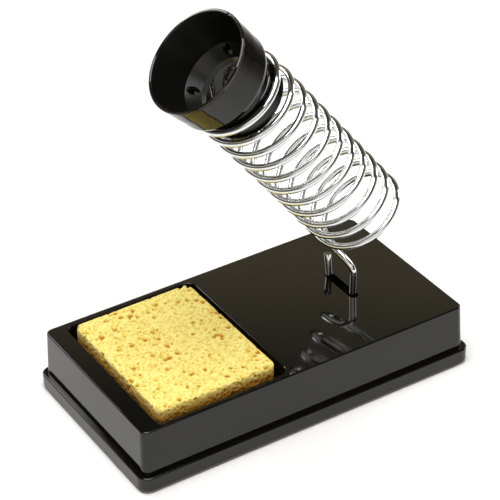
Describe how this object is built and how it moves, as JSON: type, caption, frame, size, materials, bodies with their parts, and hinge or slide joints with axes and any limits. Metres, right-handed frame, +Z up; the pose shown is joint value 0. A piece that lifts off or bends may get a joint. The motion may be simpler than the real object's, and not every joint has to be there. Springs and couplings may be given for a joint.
{
  "type": "soldering iron stand",
  "caption": "Soldering iron stand: weighted moulded base with a damp sponge in a tray, and a leaning wire coil on a hairpin foot that carries a funnel for the iron.",
  "frame": {"origin": "on the floor under the centre of the base", "axes": "+X along the base towards the coil's foot, -X towards the sponge, +Y to the back, +Z up"},
  "size_m": [0.165, 0.0906, 0.1772],
  "materials": {
    "housing_plastic": "high gloss black moulded plastic",
    "funnel_plastic": "high gloss black heat-resistant plastic",
    "socket_plastic": "matte black moulded plastic",
    "plate_steel": "zinc-plated sheet",
    "ballast_iron": "as cast",
    "screw_steel": "zinc-plated",
    "foot_rubber": "matte black",
    "sponge_cellulose": "open-pored yellow cellulose sponge",
    "bright_wire": "bright chrome-plated spring wire"
  },
  "bodies": {
    "base": {"base_housing": "housing_plastic", "bottom_plate": "plate_steel", "ballast_block": "ballast_iron", "wire_socket": "socket_plastic", "cover_screw_1": "screw_steel", "cover_screw_2": "screw_steel", "cover_screw_3": "screw_steel", "cover_screw_4": "screw_steel", "socket_screw_1": "screw_steel", "socket_screw_2": "screw_steel", "ballast_screw_1": "screw_steel", "ballast_screw_2": "screw_steel", "rubber_foot_1": "foot_rubber", "rubber_foot_2": "foot_rubber", "rubber_foot_3": "foot_rubber", "rubber_foot_4": "foot_rubber"},
    "sponge": {"sponge": "sponge_cellulose"},
    "foot": {"wire_foot": "bright_wire"},
    "coil": {"wire_coil": "bright_wire", "funnel": "funnel_plastic"}
  },
  "joints": [
    {"name": "sponge_lift", "type": "slide", "parent": "base", "child": "sponge", "axis": [0, 0, 1], "range_m": [0, 0.06]},
    {"name": "holder_lift", "type": "slide", "parent": "base", "child": "foot", "axis": [0, 0, 1], "range_m": [0, 0.06]},
    {"name": "coil_nod", "type": "hinge", "parent": "foot", "child": "coil", "pos_m": [0.045, -0.009, 0.039], "axis": [0, 1, 0], "range_deg": [-3, 3], "stiffness_Nm_per_rad": 1.4, "springref_deg": 0.87}
  ]
}
